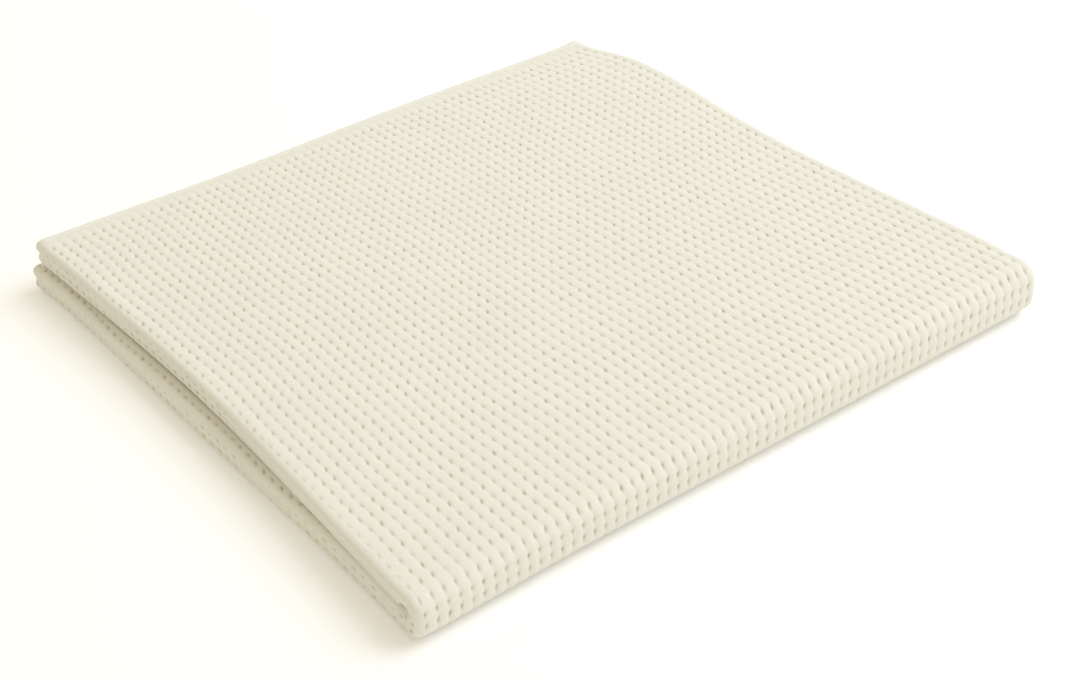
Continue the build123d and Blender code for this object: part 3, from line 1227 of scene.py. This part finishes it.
@dataclass
class Throw:
    """The whole throw, put together from its trims and its three stretches along Y."""

    cloth: Cloth
    maker: ClothPieces

    @property
    def inner_start(self) -> float:
        """How far inside the outer layer's edge the inner layer ends on the last flap."""
        return self.cloth.section.outer_end_x - self.cloth.section.inner_end_x

    def build(self) -> None:
        """Make the stitches, the side hems and the back fold, and then each stretch."""
        section, route, maker = self.cloth.section, self.cloth.route, self.maker
        _, nose, base, _, _ = section.knots
        line = maker.sewing.line
        s = maker.sewing.places(nose, base)
        side_row = maker.stitches("side_hem_stitches", s, np.full_like(s, route.top_end + line), True)
        q = maker.sewing.places(route.top_end + section.hem_width, -route.quarter)
        end_row = maker.stitches("end_hem_stitches", np.full_like(q, line), q, False)
        outer_edge = maker.side_hem("outer_edge_hem", Layer.OUTER, 0.0, "top_outer_side_hem")
        inner_edge = maker.side_hem("inner_edge_hem", Layer.INNER, self.inner_start, "top_inner_side_hem")
        back_fold = maker.back_fold()
        self.make_stretch(Stretch.TOP, [outer_edge, side_row], [end_row], [inner_edge])
        self.make_stretch(Stretch.FOLD, [], [], [])
        self.make_stretch(Stretch.BOTTOM, [back_fold], [], [])

    def nodes(self, stretch: Stretch, piece: str) -> list[str]:
        """The CAD nodes of a piece in a stretch: the front fold has a lower and an upper one."""
        places = ("fold_lower", "fold_upper") if stretch is Stretch.FOLD else (stretch.value,)
        return [f"{place}_{piece}" for place in places]

    def end_hems(self, stretch: Stretch) -> dict[str, bpy.types.Object]:
        """Make the four end hems of a stretch, named by their layer and end."""
        hems = {}
        for layer, start in ((Layer.OUTER, 0.0), (Layer.INNER, self.inner_start)):
            for end, edge, way in (("end", start, 1), ("tuck", self.cloth.section.knots[-1], -1)):
                kind = f"{layer.value}_{end}"
                name = f"{stretch.value}_{kind}_edge"
                nodes = self.nodes(stretch, f"{kind}_hem")
                hems[kind] = self.maker.end_hem(name, layer, edge, way, stretch, nodes)
        return hems

    def make_stretch(
        self,
        stretch: Stretch,
        face_trims: list[bpy.types.Object],
        flap_trims: list[bpy.types.Object],
        inner_trims: list[bpy.types.Object],
    ) -> None:
        """Make the hems and the sheets of one stretch.

        Args:
            stretch: which stretch it is.
            face_trims: what is sewn or joined to the face of the base third.
            flap_trims: what is sewn to the last flap.
            inner_trims: what is sewn to the inner layer.
        """
        at, maker, weave = stretch.value, self.maker, self.cloth.weave
        _, _, base, side, tuck = self.cloth.section.knots
        hem = self.cloth.section.hem_width
        hems = self.end_hems(stretch)
        self.outer_cover(stretch, face_trims, [hems["outer_end"], *flap_trims])
        tucked = self.nodes(stretch, "outer_tuck")
        maker.sheet(f"{at}_side_turn", Layer.OUTER, (base, side), stretch, weave.steps, tucked)
        trims = [hems["outer_tuck"]]
        maker.sheet(f"{at}_outer_tuck_sheet", Layer.OUTER, (side, tuck - hem), stretch, None, tucked, trims)
        span, nodes = (self.inner_start + hem, base), self.nodes(stretch, "inner_cover")
        trims = [hems["inner_end"], *inner_trims]
        maker.sheet(f"{at}_inner_cover_sheet", Layer.INNER, span, stretch, None, nodes, trims)
        span, nodes = (base, tuck - hem), self.nodes(stretch, "inner_tuck")
        maker.sheet(f"{at}_inner_tuck_sheet", Layer.INNER, span, stretch, None, nodes, [hems["inner_tuck"]])

    def outer_cover(
        self, stretch: Stretch, face_trims: list[bpy.types.Object], flap_trims: list[bpy.types.Object]
    ) -> None:
        """Make the outer layer from the last flap round the nose to the base third's face.

        The top half's face is split in two between ribs, and the cloth that lies out of view is cut
        more coarsely.

        Args:
            stretch: which stretch it is.
            face_trims: what is sewn or joined to the face.
            flap_trims: what is sewn to the flap.
        """
        flap, nose, base, _, _ = self.cloth.section.knots
        hem, weave = self.cloth.section.hem_width, self.cloth.weave
        sheet, outer = self.maker.sheet, Layer.OUTER
        fine, coarse = weave.steps, weave.coarse_steps
        nodes = self.nodes(stretch, "outer_cover")
        if stretch is Stretch.TOP:
            tile = nose + math.floor(0.5 * (base - nose) / weave.cell_x) * weave.cell_x
            sheet("top_face_nose_side", outer, (nose, tile), stretch, fine, nodes, face_trims)
            sheet("top_face_turn_side", outer, (tile, base), stretch, fine, nodes)
            sheet("top_nose", outer, (flap, nose), stretch, fine, nodes)
            sheet("top_flap", outer, (hem, flap), stretch, coarse, nodes, flap_trims)
        elif stretch is Stretch.FOLD:
            sheet("fold_cover", outer, (hem, base), stretch, fine, nodes, flap_trims)
        else:
            sheet("bottom_face", outer, (nose, base), stretch, coarse, nodes, face_trims)
            sheet("bottom_nose", outer, (flap, nose), stretch, fine, nodes)
            sheet("bottom_flap", outer, (hem, flap), stretch, coarse, nodes, flap_trims)


def measured_cloth() -> Cloth:
    """Work the cloth's section, route, weave and drape out from the boxes of the CAD nodes."""
    end_low, end_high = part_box("bottom_outer_end_hem")
    inner_low, inner_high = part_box("bottom_inner_end_hem")
    cover_low, cover_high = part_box("bottom_outer_cover")
    tuck_low, tuck_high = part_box("bottom_outer_tuck")
    tuck_hem_low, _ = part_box("bottom_outer_tuck_hem")
    side_hem_low, side_hem_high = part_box("top_outer_side_hem")
    stack = side_hem_high[2]
    half = cover_high[2] - cover_low[2]
    turn_radius = (tuck_high[2] - tuck_low[2]) / 2
    section = Section(
        thickness=end_high[2] - end_low[2],
        pitch=abs(inner_low[2] - end_low[2]),
        half_height=half,
        nose_x=cover_low[0] + half / 2,
        side_turn_x=tuck_high[0] - turn_radius,
        outer_end_x=end_high[0],
        inner_end_x=inner_high[0],
        tuck_end_x=tuck_hem_low[0],
        turn_radius=turn_radius,
        hem_width=side_hem_high[1] - side_hem_low[1],
    )
    route = Route(
        front_y=cover_low[1],
        back_y=cover_high[1],
        top_edge_y=side_hem_high[1],
        middle_z=stack / 2,
        pack_gap=stack - 2 * half,
    )
    drape = Drape(
        width=float(cad_high[0] - cad_low[0]),
        front_y=route.front_y,
        run_y=route.back_y - route.front_y,
        middle_z=route.middle_z,
    )
    _, nose, base, _, _ = section.knots
    weave = Weave(cell_x=(base - nose) / round((base - nose) / RIB_WIDTH))
    log.info("section %s", section)
    log.info("route %s", route)
    return Cloth(section, route, weave, drape)


def main() -> None:
    """Build the finishes, the throw and the studio."""
    logging.basicConfig(level=logging.INFO)
    cloth = measured_cloth()
    materials = {finish.slot: finish.make() for finish in FINISHES}
    Throw(cloth, ClothPieces(cloth, materials)).build()
    studio = Studio()
    studio.floor()
    studio.light()
    studio.camera()


if __name__ == "__main__":
    main()
